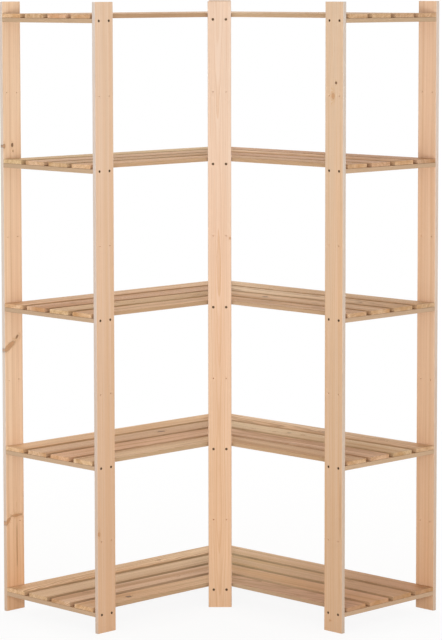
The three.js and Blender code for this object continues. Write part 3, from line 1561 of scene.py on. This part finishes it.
@dataclass(frozen=True, eq=False)
class Shelf:
    """One L-shaped shelf: slats on end battens, and a batten under the mitres."""

    level: int
    sizes: UnitSizes
    workshop: Workshop
    growth: KnotGrowth = KnotGrowth()
    # Painted light and shade: the slats' sides are darker for the shade in the gaps, and the foot
    # tint lightens them towards the room corner.
    slat_pine: PineFinish = PineFinish(
        "slat_pine",
        PineTone(
            early=(0.83, 0.59, 0.39),
            late=(0.40, 0.205, 0.08),
            heart=(0.60, 0.33, 0.16),
            edge=(0.46, 0.30, 0.18),
            foot=(1.04, 1.1, 1.15),
            foot_reach=0.95,
        ),
        contrast=1.15,
        figure=0.9,
        edge_share=0.75,
        gloss=0.12,
        pith_distance=(18 * MM, 90 * MM),
        tilt_degrees=1.3,
        tone_spread=0.05,
    )
    # Painted light and shade: a darker copy for the right wing, lightened and made bluer much more
    # strongly towards the room corner.
    right_slat_pine: PineFinish = replace(
        slat_pine,
        tone=replace(
            slat_pine.tone,
            early=(0.72, 0.505, 0.33),
            late=(0.35, 0.18, 0.072),
            heart=(0.51, 0.275, 0.127),
            foot=(1.33, 1.49, 1.67),
        ),
    )
    # Painted shade: a darker copy for the right wing of the lowest shelf.
    lowest_right_pine: PineFinish = replace(
        right_slat_pine,
        tone=replace(right_slat_pine.tone, early=(0.57, 0.335, 0.21), foot=(1.4, 1.75, 1.95)),
    )
    # Painted shade: the battens are dark brown for the shade in the gaps between the slats above
    # them.
    batten_pine: PineFinish = PineFinish(
        "batten_pine",
        PineTone(
            early=(0.50, 0.32, 0.19),
            late=(0.36, 0.19, 0.09),
            heart=(0.44, 0.25, 0.13),
            edge=(0.55, 0.38, 0.25),
            foot=WHITE,
        ),
        edge_share=0.9,
        gloss=0.12,
    )
    slat_arris: float = 1.6 * MM
    saw_slack: float = 0.7 * MM

    @property
    def prefix(self) -> str:
        """Start of the shelf's node names, counted from the floor."""
        return f"shelf_{self.level + 1}"

    @property
    def row(self) -> float:
        """Height of the battens' middle."""
        return self.sizes.rows[self.level]

    def slat(self, wing: Wing, index: int) -> None:
        """Makes a slat.

        Its inner end follows the larger of depth + mitre and tip - depth, which is the cut
        on the diagonal and, on the slat at the wall, the corner taken off for the post.

        Args:
            wing: The wing that it belongs to.
            index: Its number from the wall, starting at 0.
        """
        sizes = self.sizes
        name = f"{self.prefix}_{wing.label}_slat_{index + 1}"
        depth = sizes.slat_depths[index]
        place = sizes.on_wing(wing, 0.0, depth, self.row + sizes.slat_above_row)
        placement = Placement(place, wing.along, UP)
        way = float(placement.across @ wing.inwards)
        tip = 2 * sizes.tip_depth + sizes.mitre
        kink = way * (sizes.tip_depth - depth)
        end = sizes.wing_length - np.random.default_rng(seed_of(name)).uniform(0, self.saw_slack)

        def inner_end(across: np.ndarray) -> np.ndarray:
            """The mitre, with the tip taken off where it would reach the outer post."""
            here = depth + way * across
            return np.maximum(here + sizes.mitre, tip - here)

        board = Board(
            width=sizes.slat_width,
            thickness=sizes.slat_thickness,
            starts=inner_end,
            ends=straight(end),
            length=end,
            arris=self.slat_arris,
            kinks=(kink,) if abs(kink) < sizes.slat_width / 2 else (),
            seed=seed_of(name),
        )
        right_pine = self.right_slat_pine if self.level else self.lowest_right_pine
        finish = right_pine if wing is Wing.RIGHT else self.slat_pine
        self.workshop.board(name, board, placement, finish, self.growth.on_board(name, board))

    def batten(self, name: str, placement: Placement, reach: Span, node: str) -> None:
        """Makes a batten.

        Args:
            name: Name of the piece.
            placement: Where it lies.
            reach: Where it starts and ends, along its placement.
            node: CAD node that it stands for.
        """
        board = Board(
            width=self.sizes.frame_width,
            thickness=self.sizes.frame_thickness,
            starts=straight(reach[0]),
            ends=straight(reach[1]),
            length=reach[1] - reach[0],
            seed=seed_of(name),
        )
        knots = self.growth.on_board(name, board)
        self.workshop.board(name, board, placement, self.batten_pine, knots, node)

    def build(self) -> None:
        """Makes all boards: the batten under the mitres, and each wing's own one and slats."""
        sizes = self.sizes
        name = f"{self.prefix}_diagonal_batten"
        placement = Placement(sizes.corner + UP * self.row, DIAGONAL, UP)
        topmost = self.level == len(sizes.rows) - 1
        node = "outer_corner_post" if topmost else name
        self.batten(name, placement, sizes.diagonal_reach, node)
        for wing in Wing:
            name = f"{self.prefix}_{wing.label}_end_batten"
            along = sizes.wing_length - sizes.frame_width / 2
            placement = Placement(sizes.on_wing(wing, along, 0.0, self.row), wing.inwards, UP)
            self.batten(name, placement, sizes.batten_depths, name)
            for index in range(len(sizes.slat_depths)):
                self.slat(wing, index)


# The studio


def on_diagonal(front: float, right: float, height: float) -> np.ndarray:
    """A point of the row frame, from its place in front of the unit as the camera sees it."""
    return DIAGONAL * front + PHOTO_RIGHT * right + UP * height


@dataclass(frozen=True)
class Lamp:
    """A square soft box: place (front, right, height), aim height, size and power."""

    name: str
    place: Triple
    aim_height: float
    size: float
    power: float
    colour: Triple
    reflected: bool = True

    def build(self) -> None:
        """Hangs the lamp and points it at the middle of the unit."""
        data = bpy.data.lights.new(self.name, "AREA")
        data.shape, data.size = "SQUARE", self.size
        data.energy, data.color = self.power, self.colour
        lamp = link(self.name, data)
        place = on_diagonal(*self.place)
        lamp.location = place
        aim = Vector(UP * self.aim_height - place)
        lamp.rotation_euler = aim.to_track_quat("-Z", "Y").to_euler()
        lamp.visible_camera = False
        lamp.visible_glossy = self.reflected


@dataclass(frozen=True)
class Studio:
    """Plain soft light, a white floor that keeps the shadow, and white all round."""

    ambient: Triple = (0.68, 0.665, 0.645)
    floor_half: float = 30.0
    floor_colour: Triple = (0.88, 0.87, 0.86)
    floor_roughness: float = 0.9
    white_near: float = 0.91
    shadow_reach: Span = (0.9, 3.2)
    lamps: tuple[Lamp, ...] = (
        Lamp("key_lamp", (4.2, -1.1, 0.95), 0.9, size=1.0, power=46.0, colour=(0.94, 0.98, 1.0)),
        Lamp("fill_lamp", (4.2, 1.1, 0.95), 0.9, size=1.0, power=41.0, colour=(1.0, 0.985, 0.96)),
        Lamp("top_lamp", (0.8, 0.0, 3.8), 0.8, size=2.0, power=5.0, colour=(0.96, 0.985, 1.0)),
        Lamp(
            "back_lamp",
            (-6.0, 0.0, 3.9),
            0.8,
            size=3.0,
            power=205.0,
            colour=(1.0, 0.99, 0.97),
            reflected=False,
        ),
    )

    def seen_share(self, sheet: NodeSheet) -> Socket:
        """1 for rays that show the background as such: camera, glossy and transmission rays.

        Args:
            sheet: The sheet to draw on.

        Returns:
            The share.
        """
        path = sheet.add("LightPath").outputs
        seen = sheet.math("MAXIMUM", path["Is Camera Ray"], path["Is Glossy Ray"])
        return sheet.math("MAXIMUM", seen, path["Is Transmission Ray"])

    def world(self) -> None:
        """Even ambient light, seen as white."""
        world = bpy.data.worlds.new("studio_world")
        world.use_nodes = True
        bpy.context.scene.world = world
        sheet = NodeSheet(world.node_tree)
        colour = sheet.mix(self.seen_share(sheet), self.ambient, WHITE)
        sheet.wire(world.node_tree.nodes["Background"], {"Color": colour})

    def floor(self) -> None:
        """A plane on z = 0, pale in fact and white to the camera except for its shadow.

        The white share rises smoothly with the distance from the unit's middle.
        """
        corner = self.floor_half * np.array([[-1.0, -1, 0], [1, -1, 0], [1, 1, 0], [-1, 1, 0]])
        facing = np.broadcast_to(UP, (1, 4, 3))
        plane = Surface.of(corner, np.arange(4)[None], facing, Cut.PLANED)
        material, sheet, shader = new_material("studio_floor")
        looks = {
            "Base Color": self.floor_colour,
            "Roughness": self.floor_roughness,
            "Specular IOR Level": 0.0,
        }
        sheet.wire(shader, looks)
        away = sheet.length(sheet.add("TexCoord").outputs["Object"])
        far = sheet.rise(away, *self.shadow_reach)
        white = sheet.total(self.white_near, (far, 1 - self.white_near))
        share = sheet.product(white, self.seen_share(sheet))
        glow = sheet.add("Emission").outputs["Emission"]
        mixed = sheet.add("MixShader", {0: share, 1: shader.outputs["BSDF"], 2: glow})
        output = material.node_tree.nodes["Material Output"]
        sheet.wire(output, {"Surface": mixed.outputs["Shader"]})
        make_piece("studio_floor", plane, material)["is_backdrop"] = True

    def build(self) -> None:
        """Sets up world, floor and lamps."""
        self.world()
        self.floor()
        for lamp in self.lamps:
            lamp.build()
            log.info("lamp %s, %.0f W", lamp.name, lamp.power)


@dataclass(frozen=True)
class PhotoCamera:
    """The photograph's camera, found by fitting posts, shelves and screws to it.

    It stands on the diagonal in front of the unit at about the height of the top shelf. The
    picture was framed well below the lens axis, so its posts stand parallel. A part of that
    is kept as a vertical shift and the rest is given to a slight tilt, because every other
    view keeps the shift and would lose the top of the unit with the whole of it.
    """

    distance: float = 7.3506
    to_the_right: float = 0.0164
    height: float = 1.7385
    focal_pixels: float = 2668.37
    axis_row: float = 220.67
    azimuth_degrees: float = 45.0
    pitch: float = -0.08727
    roll: float = -0.0014
    yaw: float = -0.0017
    sensor: float = 36.0
    clip: Span = (0.1, 100.0)

    def build(self) -> None:
        """Makes the camera the scene's own."""
        data = bpy.data.cameras.new("photo_camera")
        data.sensor_width = self.sensor
        data.lens = self.focal_pixels * self.sensor / IMAGE_HEIGHT
        data.shift_y = (self.axis_row - IMAGE_HEIGHT / 2) / IMAGE_HEIGHT
        data.clip_start, data.clip_end = self.clip
        camera = link("photo_camera", data)
        place = on_diagonal(self.distance, self.to_the_right, self.height)
        level = math.pi / 2
        turn = (
            Matrix.Rotation(math.radians(self.azimuth_degrees) - self.yaw, 4, "Z")
            @ Matrix.Rotation(level + self.pitch, 4, "X")
            @ Matrix.Rotation(self.roll, 4, "Z")
        )
        camera.matrix_world = Matrix.Translation(place) @ turn
        bpy.context.scene.camera = camera


def main() -> None:
    """Builds the camera, the unit and the studio, in that order."""
    logging.basicConfig(level=logging.INFO, format="%(name)s: %(message)s")
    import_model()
    bpy.context.scene.view_settings.view_transform = "Standard"
    PhotoCamera().build()
    sizes = UnitSizes.measured()
    workshop = Workshop()
    Uprights(sizes, workshop).build()
    for level in range(len(sizes.rows)):
        Shelf(level, sizes, workshop).build()
    Studio().build()
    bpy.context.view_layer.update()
    log.info("%d pieces made", workshop.made)


if __name__ == "__main__":
    main()
